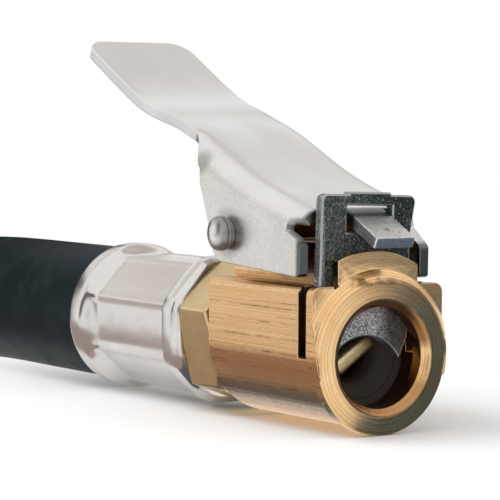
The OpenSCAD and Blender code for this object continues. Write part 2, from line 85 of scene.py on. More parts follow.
def make_camera():
    data = bpy.data.cameras.new("camera")
    data.lens = 172.8
    data.sensor_width = 36
    data.clip_start = 0.01
    cam = linked("camera", data)
    cam.location = (0.1911, -0.1402, 0.0239)
    cam.rotation_euler = [math.radians(a) for a in (86.78, -0.41, 56.885)]
    scene.camera = cam


make_camera()


# --------------------------------------------------------------- materials

SMOOTH = {"interpolation_type": "SMOOTHSTEP"}


def linear(hex_colour):
    """An sRGB hex colour as linear RGBA."""
    out = []
    for i in (0, 2, 4):
        c = int(hex_colour[i:i + 2], 16) / 255
        out.append(c / 12.92 if c <= 0.04045 else ((c + 0.055) / 1.055) ** 2.4)
    return (*out, 1.0)


def add(mat, kind, settings=None, **inputs):
    """Adds a node, sets its properties, and fills or links its inputs by name or number."""
    node = mat.node_tree.nodes.new("ShaderNode" + kind)
    for key, value in (settings or {}).items():
        setattr(node, key, value)
    for key, value in inputs.items():
        number = key[0] == "i" and key[1:].isdigit()
        socket = node.inputs[int(key[1:])] if number else node.inputs[key.replace("_", " ")]
        if isinstance(value, bpy.types.NodeSocket):
            mat.node_tree.links.new(value, socket)
        else:
            socket.default_value = value
    return node


def material(name):
    mat = bpy.data.materials.new(name)
    mat.use_nodes = True
    mat.node_tree.nodes.clear()
    return mat


def finished(mat, tone, rough, metallic=1.0, **more):
    """Ends a material in its shader, which is a metal's unless it says otherwise."""
    shader = add(mat, "BsdfPrincipled", Base_Color=tone, Roughness=rough, Metallic=metallic,
                 **more)
    add(mat, "OutputMaterial", Surface=shader.outputs[0])
    return mat


def in_mm(mat, scale=(1, 1, 1), move=(0, 0, 0)):
    """Object coordinates counted in millimetres, then stretched and moved."""
    place = add(mat, "TexCoord").outputs["Object"]
    return add(mat, "Mapping", Vector=place, Location=move,
               Scale=tuple(s / MM for s in scale)).outputs[0]


def speckle(mat, spacing, low=0.3, high=0.7, move=(0, 0, 0), detail=2.0):
    """Noise of a spacing in millimetres, spread from 0 at low to 1 at high."""
    grain = add(mat, "TexNoise", Vector=in_mm(mat, (1 / spacing,) * 3, move), Scale=1,
                Detail=detail, Roughness=0.6).outputs[0]
    return add(mat, "MapRange", Value=grain, From_Min=low, From_Max=high).outputs[0]


def pitted(mat, spacing, radius, move):
    """1 inside round pits of about a radius and spacing in millimetres, 0 elsewhere."""
    cells = add(mat, "TexVoronoi", Vector=in_mm(mat, (1 / spacing,) * 3, move), Scale=1)
    size = add(mat, "MapRange", Value=cells.outputs["Color"], To_Min=0.2 * radius / spacing,
               To_Max=radius / spacing).outputs[0]
    ratio = add(mat, "Math", {"operation": "DIVIDE"}, i0=cells.outputs["Distance"], i1=size)
    return add(mat, "MapRange", Value=ratio.outputs[0], From_Min=1.2, From_Max=0.7).outputs[0]


def fade_along(mat, axis, start, end, settings=None):
    """0 before start and 1 past end, in millimetres along X, Y or Z."""
    place = add(mat, "SeparateXYZ", Vector=in_mm(mat)).outputs["XYZ".index(axis)]
    return add(mat, "MapRange", settings, Value=place, From_Min=start, From_Max=end).outputs[0]


def from_axis(mat, axis, point=(0, 0, 0)):
    """Distance in millimetres from a line through a point along X, Y or Z."""
    place = in_mm(mat, move=tuple(-c for c in point))
    flat = add(mat, "VectorMath", {"operation": "MULTIPLY"}, i0=place,
               i1=[float(letter != axis) for letter in "XYZ"]).outputs[0]
    return add(mat, "VectorMath", {"operation": "LENGTH"}, i0=flat).outputs["Value"]


def near_point(mat, point, start, end, settings=None):
    """0 at a distance of start from a point and 1 at a distance of end, in millimetres."""
    away = add(mat, "VectorMath", {"operation": "DISTANCE"}, i0=in_mm(mat), i1=point)
    return add(mat, "MapRange", settings, Value=away.outputs["Value"], From_Min=start,
               From_Max=end).outputs[0]


def layered(mat, base, *layers):
    """Lays colours over a base colour. A layer is a colour and then numbers and masks from 0 to 1,
    whose product is how much of it shows."""
    tone = linear(base)
    for colour, amount, *others in layers:
        for other in others:
            amount = add(mat, "Math", {"operation": "MULTIPLY"}, i0=amount, i1=other).outputs[0]
        if isinstance(colour, str):
            colour = linear(colour)
        tone = add(mat, "Mix", {"data_type": "RGBA"}, i0=amount, i6=tone, i7=colour).outputs[2]
    return tone


def drawn_brass():
    """Free-cutting brass bar, cold drawn: straight die lines, some of them tanned, and small pits.
    Below the flat sides a brown band, and underneath it a grey band with bright scratches, are
    painted reflections of the shaded floor near the object."""
    mat = material("drawn_brass")
    # die lines lie some 0.05 mm apart; they are drawn 0.1 to 0.2 mm apart so that they show
    lines = add(mat, "TexNoise", Vector=in_mm(mat, (0.012, 5.5, 5.5)), Scale=1, Detail=2,
                Roughness=0.6).outputs[0]
    fine = add(mat, "MapRange", Value=lines, From_Min=0.36, From_Max=0.64).outputs[0]
    scores = add(mat, "TexNoise", Vector=in_mm(mat, (0.012, 2.6, 2.6), (3, 8, 1)), Scale=1,
                 Detail=1).outputs[0]
    scored = add(mat, "Math", {"operation": "COMPARE"}, i0=scores, i1=0.57, i2=0.02).outputs[0]
    patchy = speckle(mat, 3, low=0.42, high=0.62, move=(5, 5, 1))
    # the metal's own grain is finer than 0.1 mm; it is drawn at 0.2 mm
    grain = speckle(mat, 0.2)
    cloud = speckle(mat, 4, low=0.35, high=0.65, move=(4, 0, 9))
    pits = pitted(mat, spacing=1.9, radius=0.16, move=(9, 2, 4))
    scuffs = add(mat, "TexNoise", Vector=in_mm(mat, (1.2, 5, 2.2), (2, 1, 3)), Scale=1, Detail=3)
    scuffs = add(mat, "MapRange", Value=scuffs.outputs[0], From_Min=0.58, From_Max=0.68).outputs[0]
    # the brown and the grey are bands of height, uneven from one die line to the next
    height = add(mat, "SeparateXYZ", Vector=in_mm(mat)).outputs[2]
    uneven = add(mat, "MapRange", Value=lines, To_Min=-0.9, To_Max=0.9).outputs[0]
    height = add(mat, "Math", {"operation": "ADD"}, i0=height, i1=uneven).outputs[0]
    under_brown, over_brown, under_grey, over_grey = [
        add(mat, "MapRange", SMOOTH, Value=height, From_Min=start, From_Max=end).outputs[0]
        for start, end in ((0.7, -0.2), (-3.6, -1.0), (-3.4, -4.6), (-6.5, -5.6))]
    tone = layered(
        mat, "E4B27A",
        ("FFDCAA", fine),
        ("F0BE88", cloud, 0.3),
        ("C6965F", grain, 0.5),
        # painted reflections of the shaded floor: a brown band, and below it a grey band with
        # bright scratches
        ("BA845C", under_brown, over_brown, 0.62),
        ("989284", under_grey, over_grey, 0.7),
        ("F2E6D2", under_grey, scuffs, 0.5),
        ("7A522F", scored, patchy, 0.7),
        ("5A3C22", pits, 0.8),
        # painted shade under the lever, on the brass behind the jaw
        ("1E1812", fade_along(mat, "X", -13, -9, SMOOTH),
         fade_along(mat, "Z", 6.9, 8.6, SMOOTH), 0.95))
    bump = add(mat, "Bump", Strength=0.2, Distance=0.04 * MM, Height=fine).outputs[0]
    bump = add(mat, "Bump", Strength=0.3, Distance=0.03 * MM, Height=grain, Normal=bump).outputs[0]
    rough = add(mat, "MapRange", Value=grain, To_Min=0.26, To_Max=0.36).outputs[0]
    return finished(mat, tone, rough, Normal=bump)


def turned_brass(name, pale, dark, deep):
    """Brass faced on a lathe: rings left by the tool, which shine across themselves."""
    mat = material(name)
    radius = from_axis(mat, "X")
    # the feed is about 0.05 mm a turn; it is drawn at 0.1 to 0.2 mm
    turns = add(mat, "Math", {"operation": "MULTIPLY"}, i0=radius, i1=9).outputs[0]
    rings = add(mat, "TexNoise", {"noise_dimensions": "1D"}, W=turns, Scale=1, Detail=1,
                Roughness=0.5).outputs[0]
    fine = add(mat, "MapRange", Value=rings, From_Min=0.38, From_Max=0.62).outputs[0]
    cloud = speckle(mat, 3.5, low=0.35, high=0.65, move=(1, 7, 2))
    pits = pitted(mat, spacing=1.7, radius=0.12, move=(3, 3, 8))
    inner = add(mat, "MapRange", Value=radius, From_Min=5.75, From_Max=5.45).outputs[0]
    bevel = add(mat, "MapRange", Value=radius, From_Min=6.0, From_Max=5.8).outputs[0]
    blotch = speckle(mat, 1.6, low=0.4, high=0.6, move=(4, 4, 7))
    near_side = fade_along(mat, "Y", 1.8, 0.4)
    tone = layered(
        mat, dark,
        (pale, fine),
        (dark, cloud, 0.4),
        ("54391F", pits, 0.7),
        # painted shade in the upper far side of the mouth
        ("5E4630", inner, fade_along(mat, "Y", 0.5, 3), fade_along(mat, "Z", 0.6, 1.6), 0.8),
        # painted reflection: the mouth's bevel is painted dark, but for one bright spot on its far
        # side, a painted highlight
        ("9A6638", bevel, near_point(mat, (0, 5.6, -0.6), 1.2, 2.6), 0.7),
        # darker along the top of the rib behind the rim, on its near side; and a painted reflection
        # of the rib's front, darker along the top of the rim on its near side
        ("50341C", fade_along(mat, "Z", 12.9, 13.5), near_side, blotch, 0.75),
        ("50341C", fade_along(mat, "Z", 7.0, 7.35), fade_along(mat, "Z", 8.1, 7.9), near_side,
         blotch, 0.75))
    bump = add(mat, "Bump", Strength=deep, Distance=0.06 * MM, Height=fine).outputs[0]
    around = add(mat, "Tangent", {"direction_type": "RADIAL", "axis": "X"}).outputs[0]
    return finished(mat, tone, 0.25, Anisotropic=0.5, Tangent=around, Normal=bump)


def satin_nickel():
    """Steel sheet, stamped, tumbled and nickel plated: warm pale grey with a soft grain."""
    mat = material("satin_nickel")
    # tumbling leaves a grain of about 0.1 mm; it is drawn at 0.3 mm so that it shows
    grain = speckle(mat, 0.3)
    cloud = speckle(mat, 11, low=0.38, high=0.62, move=(5, 1, 2))
    spots = pitted(mat, spacing=3.5, radius=0.13, move=(2, 6, 6))
    side = add(mat, "SeparateXYZ", Vector=in_mm(mat)).outputs[1]
    side = add(mat, "Math", {"operation": "ABSOLUTE"}, i0=side).outputs[0]
    wall = add(mat, "MapRange", SMOOTH, Value=side, From_Min=6.9, From_Max=7.9).outputs[0]
    pin_shadow = add(mat, "MapRange", SMOOTH, Value=from_axis(mat, "Y", PIN), From_Min=3.1,
                From_Max=1.9).outputs[0]
    punch = add(mat, "MapRange", Value=from_axis(mat, "Z", (1.1, -0.05, 0)), From_Min=0.36,
                From_Max=0.24).outputs[0]
    tone = layered(
        mat, "EAE9E8",
        ("E3E1DF", cloud),
        # painted reflection: the side walls are painted warmer than the top, with more of the grain
        ("F0EDE8", wall, 0.85),
        ("ACA69F", wall, 0.28, grain),
        ("8C8780", spots, 0.4),
        # painted shadow on the walls round the pin
        ("7A756F", pin_shadow, wall, 0.4),
        # painted shade where the near fold ends
        ("707673", near_point(mat, FOLD_END, 1.9, 0.5, SMOOTH), 0.5),
        # the tongue is greyer in front of the jaw's window, and where it passes through the window
        # it is painted dark, a painted shade from the jaw plate
        (layered(mat, "E8E9E8", ("BFC1C0", grain)), fade_along(mat, "X", -3.2, -2.6)),
        ("474948", fade_along(mat, "X", -3.4, -2.9), fade_along(mat, "X", -1.2, -1.6), 0.85),
        # a round punch mark in the tongue
        ("5C5D5C", punch, 0.6))
    bump = add(mat, "Bump", Strength=0.12, Distance=0.05 * MM, Height=grain).outputs[0]
    rough = add(mat, "MapRange", Value=cloud, To_Min=0.3, To_Max=0.38).outputs[0]
    return finished(mat, tone, rough, Normal=bump)


def tumbled_steel():
    """Spring steel plate, stamped and tumbled: a dark pebbled skin with bright specks."""
    mat = material("tumbled_steel")
    # the grit leaves pebbles of about 0.2 mm, and finer ones of 0.13 mm in the painted sheen round
    # the biting edge
    grain = speckle(mat, 0.2, low=0.42, high=0.58)
    specks = speckle(mat, 0.2, low=0.60, high=0.70, move=(8, 1, 5), detail=1)
    cloud = speckle(mat, 4, low=0.38, high=0.62, move=(1, 2, 3))
    fine = speckle(mat, 0.13, low=0.4, high=0.6, move=(7, 1, 7), detail=1)
    in_mouth = fade_along(mat, "Z", 7.0, 4.5, SMOOTH)
    cut = layered(mat, "7E8382", ("C4C6C5", grain))
    bright = layered(mat, "FFFFFF", ("8E8E94", fine),
                     ("4A3830", fade_along(mat, "Y", 0.2, 2.6, SMOOTH), 0.8))
    tone = layered(
        mat, "3E4442",
        ("747877", grain),
        ("4A5553", cloud, 0.4),
        # painted shade: the side away from the pin's turned end is darker
        ("26302F", fade_along(mat, "Y", -3.5, 3.5, SMOOTH), 0.65),
        ("CFD1D2", specks, 0.6),
        # the cut side next to the pin's turned end is paler
        (cut, fade_along(mat, "Y", -5.65, -5.8), 0.6),
        # round the biting edge, inside the mouth, the skin is painted bright, a painted sheen, and
        # brown on its far side, a painted reflection of the brass
        (bright, in_mouth))
    bump = add(mat, "Bump", Strength=1.0, Distance=0.1 * MM, Height=grain).outputs[0]
    rough = add(mat, "MapRange", Value=in_mouth, To_Min=0.33, To_Max=0.7).outputs[0]
    return finished(mat, tone, rough, Normal=bump)


def turned_steel():
    """Turned steel pin: a painted highlight over the middle of its dome, and painted shade round
    its rim.
    """
    mat = material("turned_pin_steel")
    rim = add(mat, "MapRange", SMOOTH, Value=from_axis(mat, "Y", PIN), From_Min=0.5,
              From_Max=1.7).outputs[0]
    tone = layered(mat, "F2F0EC", ("9A9793", rim), ("6C6965", speckle(mat, 0.25), 0.2))
    return finished(mat, tone, 0.29)


def handled_metal(name, colour, rough):
    """Metal without tool marks, a little uneven in tone; used for worn pieces, and for painted
    shade.
    """
    mat = material(name)
    return finished(mat, layered(mat, colour, ("807C78", speckle(mat, 0.25), 0.4)), rough)


def bright_nickel():
    """Brass tube, nickel plated and crimped: a bright skin that ripples where the dies pressed."""
    mat = material("bright_nickel")
    # the ripples are some 3 mm across; the plating's own grain is finer and is drawn at 0.3 mm
    ripple = speckle(mat, 3, low=0.2, high=0.8, move=(6, 6, 1))
    grain = speckle(mat, 0.3, low=0.35, high=0.65)
    tone = layered(mat, "E4E0DC", ("CFC8C2", ripple, 0.3), ("A89F98", grain, 0.08))
    bump = add(mat, "Bump", Strength=0.06, Distance=0.2 * MM, Height=ripple).outputs[0]
    rough = add(mat, "MapRange", Value=ripple, To_Min=0.18, To_Max=0.24).outputs[0]
    return finished(mat, tone, rough, Normal=bump)


def milled_brass():
    """Pale brass hexagon, bright milled: smooth with a faint cloud of handling."""
    mat = material("milled_brass")
    cloud = speckle(mat, 4, low=0.36, high=0.64)
    # the mill leaves lines of about 0.1 mm; they are drawn at 0.3 mm so that they show
    lines = add(mat, "TexNoise", Vector=in_mm(mat, (0.1, 3, 3)), Scale=1, Detail=2).outputs[0]
    tone = layered(mat, "EBD5A4", ("DDC292", cloud), ("C8AA7A", lines, 0.35),
                   ("F0DFB6", speckle(mat, 0.3), 0.15))
    bump = add(mat, "Bump", Strength=0.08, Distance=0.05 * MM, Height=lines).outputs[0]
    return finished(mat, tone, 0.28, Normal=bump)


def black_rubber(name, colour, spacing, rough):
    """Extruded nitrile rubber: near black, with a soft sheen and dusty scuffs."""
    mat = material(name)
    scuff = speckle(mat, spacing, low=0.45, high=0.75, move=(2, 2, 2))
    tone = layered(mat, colour, ("303B3F", scuff, 0.3))
    # the cover's skin is pebbled at about 0.1 mm; it is drawn at 0.3 mm
    bump = add(mat, "Bump", Strength=0.1, Distance=0.05 * MM, Height=speckle(mat, 0.3)).outputs[0]
    gloss = add(mat, "MapRange", Value=scuff, To_Min=rough, To_Max=rough + 0.12).outputs[0]
    return finished(mat, tone, gloss, metallic=0.0, Normal=bump, Specular_IOR_Level=0.06)


def spring_wire():
    """Drawn music wire: bright, with a faint blue cast."""
    mat = material("spring_wire")
    return finished(mat, layered(mat, "B9BCC2", ("8E9197", speckle(mat, 0.7))), 0.22)


def sealing_fibre():
    """Vulcanised fibre washer: dull brick red with short fibres."""
    mat = material("sealing_fibre")
    # pressed bundles of fibre, some 1 mm long and 0.25 mm thick
    fibres = add(mat, "TexNoise", Vector=in_mm(mat, (1, 4, 1.2)), Scale=1, Detail=3).outputs[0]
    bump = add(mat, "Bump", Strength=0.3, Distance=0.05 * MM, Height=fibres).outputs[0]
    return finished(mat, layered(mat, "7E2F22", ("A5503E", fibres)), 0.75, metallic=0.0,
                    Normal=bump)


brass = drawn_brass()
faced = turned_brass("turned_brass", pale="FFE8B6", dark="E6AC70", deep=0.15)
# dark brass, for painted shade in the bore and in the jaw's slot
shaded_brass = handled_metal("painted_shade_brass", "5E3E28", 0.4)
edged = turned_brass("worn_brass_edge", pale="F4D6A4", dark="D8AE78", deep=0.1)
nickel = satin_nickel()
steel = tumbled_steel()
steel_edge = handled_metal("rubbed_steel_edge", "B4B7B7", 0.36)
rubbed_brass = handled_metal("rubbed_brass", "FBE4AC", 0.45)
pin_steel = turned_steel()
plate = bright_nickel()
hexed = milled_brass()
hose_rubber = black_rubber("hose_rubber", "141E22", spacing=3, rough=0.4)
seal_rubber = black_rubber("seal_rubber", "4C443E", spacing=1, rough=0.45)
wire = spring_wire()
fibre = sealing_fibre()


# ------------------------------------------------------------------ pieces

def merged(node):
    """A joined copy of a CAD node in millimetres, its flat faces made whole."""
    bm = bmesh.new()
    bm.from_mesh(nodes[node].data)
    bmesh.ops.scale(bm, verts=bm.verts, vec=(1 / MM,) * 3)
    bmesh.ops.remove_doubles(bm, verts=bm.verts, dist=0.002)
    bmesh.ops.dissolve_limit(bm, angle_limit=math.radians(0.5), verts=bm.verts, edges=bm.edges)
    return bm


def piece(name, bm, mats, body, stands_for, sharp=30, bevel=0.0, segments=2, worn=-1):
    """Makes a mesh in millimetres a finished object that rides on its body."""
    bmesh.ops.scale(bm, verts=bm.verts, vec=(MM,) * 3)
    mesh = bpy.data.meshes.new(name)
    bm.to_mesh(mesh)
    bm.free()
    for mat in mats:
        mesh.materials.append(mat)
    mesh.shade_smooth()
    mesh.set_sharp_from_angle(angle=math.radians(sharp))
    obj = linked(name, mesh)
    if bevel:
        round_edges(obj, bevel, segments, sharp).material = worn
    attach(obj, body)
    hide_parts(stands_for)
    return obj


def round_edges(obj, width, segments, sharp):
    mod = obj.modifiers.new("rounded_edges", "BEVEL")
    mod.width = width * MM
    mod.segments = segments
    mod.limit_method = "ANGLE"
    mod.angle_limit = math.radians(sharp)
    mod.use_clamp_overlap = False
    mod.harden_normals = True
    return mod


def spun(profile, steps, axis, centre=(0, 0, 0)):
    """A profile of [along, radius] points turned about an axis along X or Y."""
    bm = bmesh.new()
    place = {"X": lambda p: (p[0], 0, p[1]), "Y": lambda p: (0, -p[0], p[1])}[axis]
    verts = [bm.verts.new(place(p)) for p in profile]
    edges = [bm.edges.new(pair) for pair in zip(verts, verts[1:])]
    bmesh.ops.spin(bm, geom=verts + edges, cent=(0, 0, 0), angle=2 * math.pi, steps=steps,
                   axis=(1, 0, 0) if axis == "X" else (0, 1, 0), use_merge=True)
    bmesh.ops.remove_doubles(bm, verts=bm.verts, dist=0.0005)
    bmesh.ops.recalc_face_normals(bm, faces=bm.faces)
    bmesh.ops.translate(bm, verts=bm.verts, vec=centre)
    return bm


def line_at(points, x):
    """Height at x on a line of [x, z] points that run towards -X."""
    for (x0, z0), (x1, z1) in zip(points, points[1:]):
        if x >= x1:
            break
    return z0 + (z1 - z0) * (x - x0) / (x1 - x0)


def smooth_step(x, low, high):
    t = min(max((x - low) / (high - low), 0), 1)
    return t * t * (3 - 2 * t)


# ----------------------------------------------------------------- housing

def dome_rim(bm):
    """Opens the rim's flat front into rings and lets them fall back towards the outside."""
    fall, fall_from_r, outer_r = 0.13, 5.9, 7.9
    front = [f for f in bm.faces if f.normal.x > 0.99 and f.calc_center_median().x > RIM_X - 0.02
             and max(math.hypot(v.co.y, v.co.z) for v in f.verts) < outer_r]
    bmesh.ops.delete(bm, geom=front, context="FACES")
    rims = [e for e in bm.edges if e.is_boundary]
    made = bmesh.ops.bridge_loops(bm, edges=rims)
    spokes = [e for f in made["faces"] for e in f.edges if not e.is_boundary and e not in rims]
    bmesh.ops.subdivide_edges(bm, edges=list(dict.fromkeys(spokes)), cuts=6)
    for vert in bm.verts:
        reach = math.hypot(vert.co.y, vert.co.z)
        if vert.co.x > RIM_X - 0.01 and reach < outer_r:
            vert.co.x -= fall * max(reach - fall_from_r, 0)


def make_housing():
    """Drawn bar with its turned mouth: finishes by place, and bevels on its sharp edges."""
    finishes = (brass, faced, edged, shaded_brass)
    bore_r, rim_side_r, rib_top_z, low_step_z, sharp = 5.7, 7.3, 8.5, -4.5, 25
    slot_rear, slot_front, rim_rear = SLOT_REAR_X - 0.05, SLOT_FRONT_X + 0.05, RIM_REAR_X - 0.05
    bm = merged("body")
    dome_rim(bm)

    def is_slot_wall(face):
        return abs(face.normal.x) > 0.9 and slot_rear < face.calc_center_median().x < slot_front

    # the walls of the jaw's slot wind round the bore, so they are cut into triangles
    bmesh.ops.triangulate(bm, faces=[f for f in bm.faces if len(f.verts) > 4 and is_slot_wall(f)])
    rounded = bm.edges.layers.float.new("bevel_weight_edge")
    for edge in bm.edges:
        is_sharp = edge.is_manifold and edge.calc_face_angle() > math.radians(sharp)
        behind_rim = all(abs(v.co.x - RIM_REAR_X) < 0.02 for v in edge.verts)
        # behind the rim the step starts from nothing, too low there to be rounded
        low = behind_rim and max(v.co.z for v in edge.verts) > low_step_z
        edge[rounded] = 1.0 if is_sharp and not low else 0.0
    for face in bm.faces:
        centre = face.calc_center_median()
        reach = math.hypot(centre.y, centre.z)
        on_lathe = min(v.co.x for v in face.verts) > rim_rear or reach < bore_r
        rim_side = reach > rim_side_r and abs(face.normal.x) < 0.1
        rib_top = centre.x > slot_front and centre.z > rib_top_z
        in_bore = reach < bore_r and centre.x < RIM_REAR_X
        finish = brass
        # the bore and the slot's walls take the dark brass: painted shade in these recesses
        if is_slot_wall(face) or in_bore:
            finish = shaded_brass
        elif rib_top or (on_lathe and not rim_side):
            finish = faced
        face.material_index = finishes.index(finish)
    housing = piece("brass_housing", bm, finishes, "housing", "body", sharp=sharp,
                    bevel=0.1, worn=finishes.index(edged))
    housing.modifiers["rounded_edges"].limit_method = "WEIGHT"


def make_gasket():
    """Rubber ring with a rounded lip, which seals on the end of the tyre valve."""
    rear_x, front_x, outer_r = -6.9, -3.5, 5.5
    lip = [(-3.62 - 0.12 * math.cos(math.radians(a)), 4.55 - 0.2 * math.sin(math.radians(a)))
           for a in range(0, 91, 15)]
    profile = [(rear_x, PASSAGE_R), (rear_x, outer_r), (front_x, outer_r), (front_x, 4.6), *lip,
               (-4.1, 4.05), (-4.6, 3.6), (-4.95, 3.3), (-5.3, 3.1), (-5.7, PASSAGE_R),
               (rear_x, PASSAGE_R)]
    piece("rubber_gasket", spun(profile, 96, "X"), (seal_rubber,), "housing",
          "mouth_gasket")


def make_blade():
    """Turned stem with a flange for the seal, and the rounded blade on its front end."""
    blade_x, blade_size, blade_turn = -5.5, (2.6, 5.5, 1.8), math.radians(35)
    stem = [(-13.4, 0), (-13.4, 1.1), (-13.1, 1.4), (-10.45, 1.4), (-10.45, 3.7), (-10.25, 3.9),
            (-9.4, 3.9), (-9.4, 1.7), (-6.3, 1.7), (blade_x, 0)]
    bm = spun(stem, 48, "X")
    blade = bmesh.ops.create_cube(bm, size=1)["verts"]
    bmesh.ops.scale(bm, verts=blade, vec=blade_size)
    edges = list(dict.fromkeys(e for v in blade for e in v.link_edges))
    rounded = bmesh.ops.bevel(bm, geom=edges, offset=0.6, segments=6, profile=0.5,
                              affect="EDGES", material=-1)["verts"]
    bmesh.ops.rotate(bm, verts=rounded, cent=(0, 0, 0), matrix=Matrix.Rotation(blade_turn, 3, "X"))
    bmesh.ops.translate(bm, verts=rounded, vec=(blade_x, 0, 0))
    piece("opening_blade", bm, (rubbed_brass,), "depressor", "depressor")


def make_jaw():
    finishes = (steel, steel_edge)
    piece("steel_jaw", merged("jaw_plate"), finishes, "jaw", "jaw_plate",
          bevel=0.2, segments=3, worn=finishes.index(steel_edge))


# ------------------------------------------------------------------- lever

LEVER_TOP = [(2.6, 11.98), (-1.85, 14.2), (-2.65, 14.6), (-14.3, 18.0), (-26.3, 23.3),
             (-29.8, 24.1), (-33.8, 24.8), (-36.8, 26.1), (-42.3, 29.0), (-48.3, 32.2)]
SHEET, BEND = 1.2, 2.8
TAIL_X, FAR_FOLD_X, NEAR_FOLD_X, BEND_REAR_X = -48.3, -32, -24, -21.2
NOTCH_X, FRONT_X, WALL_FRONT_X, TIP_X = -5.15, -2.85, -2.65, 2.55
TONGUE_HALF, TAIL_HALF, TAIL_CORNER = 2.35, 6.6, 2.4
# the cut between the near wall and the tongue, as [x, z] points round the bend
NOTCH = [(NOTCH_X, 12.3), (NOTCH_X, 12.75), (-4.65, 13.3), (-3.75, 13.8), (FRONT_X, 14.0)]
NOTCH_TOP_Z, NOTCH_ROWS = 14.8, 6
# places across the top, from the middle out, and then angles round the bend
ACROSS = [0, 1.2, TONGUE_HALF, 3.3, 4.3, HALF_WIDTH - BEND]
ROUND_BEND = [15, 30, 45, 60, 75, 90]


def spread(start, end, count):
    """Even steps from start up to, but without, end."""
    return [start + (end - start) * k / count for k in range(count)]


def lever_top(x):
    """Height of the lever's top along its middle, its folds eased into curves."""
    reach = 0.4 + 2.9 * smooth_step(-x, 3, 14)
    return sum(line_at(LEVER_TOP, x + reach * k / 6) for k in range(-6, 7)) / 13


def along_line(points, t):
    """Point at t on a line of (t, x, z) rows."""
    for (t0, x0, z0), (t1, x1, z1) in zip(points, points[1:]):
        if t <= t1:
            break
    f = (t - t0) / (t1 - t0)
    return x0 + (x1 - x0) * f, z0 + (z1 - z0) * f


def notch_front(level):
    """How far forward the notched edge reaches at a level of the bend."""
    if level < NOTCH[0][1]:
        return NOTCH_X
    for (x0, z0), (x1, z1) in zip(NOTCH, NOTCH[1:]):
        if z0 <= level < z1:
            return x0 + (x1 - x0) * (level - z0) / (z1 - z0)
    return FRONT_X


def sheet_patch(bm, rows, cols, place):
    """A grid of sheet, each of its points set by its row and column."""
    made = bmesh.ops.create_grid(bm, x_segments=rows, y_segments=cols, size=1)
    for vert in made["verts"]:
        vert.co = place(round((vert.co.x + 1) / 2 * rows), round((vert.co.y + 1) / 2 * cols))


def top_patch(bm, stations, notch_at):
    """The lever's top with a bend down each side, wider and rounded off at the tail."""
    half = len(ACROSS) + len(ROUND_BEND) - 1

    def top_point(row, col):
        x = stations[row]
        place = abs(col - half)
        drop = 0
        if place < len(ACROSS):
            y = ACROSS[place]
        else:
            angle = math.radians(ROUND_BEND[place - len(ACROSS)])
            bent = smooth_step(x, FAR_FOLD_X if col > half else NEAR_FOLD_X, BEND_REAR_X)
            y = ACROSS[-1] + (TAIL_HALF - ACROSS[-1]) * angle * 2 / math.pi * (1 - bent)
            y += BEND * math.sin(angle) * bent
            drop = BEND * (1 - math.cos(angle)) * bent
            if row > notch_at:
                front = NOTCH_X if col > half else notch_front(NOTCH_TOP_Z - drop)
                x = NOTCH_X + (front - NOTCH_X) * (row - notch_at) / NOTCH_ROWS
        from_end = x - TAIL_X
        if from_end < TAIL_CORNER:
            back = TAIL_CORNER - from_end
            reach = TAIL_HALF - TAIL_CORNER + math.sqrt(max(TAIL_CORNER ** 2 - back ** 2, 0))
            y *= reach / TAIL_HALF
        return x, math.copysign(y, col - half), lever_top(x) - drop

    sheet_patch(bm, len(stations) - 1, 2 * half, top_point)


def tongue_patch(bm):
    """The tongue, which runs on from the middle of the top and down through the jaw's window."""
    places, rows = [-2, -1, 0, 1, 2], 10

    def tongue_point(row, col):
        x = FRONT_X + (TIP_X - FRONT_X) * row / rows
        return x, math.copysign(ACROSS[abs(places[col])], places[col]), lever_top(x)

    sheet_patch(bm, rows, len(places) - 1, tongue_point)


def wall_patch(bm, on_wall, side, low):
    """A side wall, from its lip under the bend down to its foot. The far one hangs lower."""
    ear_x, ear_z, ear_rows, rows_down = -3.25, 11.7 - low, 4, 10
    lip = [(x, lever_top(x) - BEND) for x in on_wall]
    last = lip[-1]
    lip += [(last[0] + (ear_x - last[0]) * k / ear_rows, last[1] + (ear_z - last[1]) * k / ear_rows)
            for k in range(1, ear_rows + 1)]
    lip += [(-2.9, 11.4 - low), (WALL_FRONT_X, 11.0 - low)]
    foot = [(0, BEND_REAR_X, 17.1), (0.05, -20.4, 15.1), (0.1, -19.5, 12.8),
            (0.15, -18.8, 10.4 - low * 0.6), (0.175, -18.35, 9.4 - low),
            (0.21, -17.4, 8.8 - low), (0.96, -3.1, 8.0 - low), (1, WALL_FRONT_X, 8.3 - low)]
    steps = len(lip) - 1

    def wall_point(row, col):
        t = row / steps
        near = [along_line(foot, min(max(t + 0.006 * k, 0), 1)) for k in (-2, -1, 0, 1, 2)]
        foot_x, foot_z = [sum(p[axis] for p in near) / len(near) for axis in (0, 1)]
        f = col / rows_down
        return (lip[row][0] + (foot_x - lip[row][0]) * f, side * HALF_WIDTH,
                lip[row][1] + (foot_z - lip[row][1]) * f)

    sheet_patch(bm, steps, rows_down, wall_point)


def lever_sheet():
    """The outer skin of the stamping: top with both bends, tongue and two walls."""
    bm = bmesh.new()
    stations = [TAIL_X + step for step in (0, 0.3, 0.7, 1.2, 1.8)]
    stations += spread(TAIL_X + TAIL_CORNER, NEAR_FOLD_X, 22) + spread(NEAR_FOLD_X, BEND_REAR_X, 7)
    bend_at = len(stations)
    stations += spread(BEND_REAR_X, NOTCH_X, 24)
    notch_at = len(stations)
    stations += [NOTCH_X + (FRONT_X - NOTCH_X) * k / NOTCH_ROWS for k in range(NOTCH_ROWS + 1)]
    top_patch(bm, stations, notch_at)
    tongue_patch(bm)
    for side, low in ((-1, 0), (1, 0.5)):
        wall_patch(bm, stations[bend_at:notch_at + 1], side, low)
    bmesh.ops.remove_doubles(bm, verts=bm.verts, dist=0.01)
    bmesh.ops.recalc_face_normals(bm, faces=bm.faces)
    if sum(f.normal.z for f in bm.faces) < 0:
        bmesh.ops.reverse_faces(bm, faces=bm.faces)
    return bm


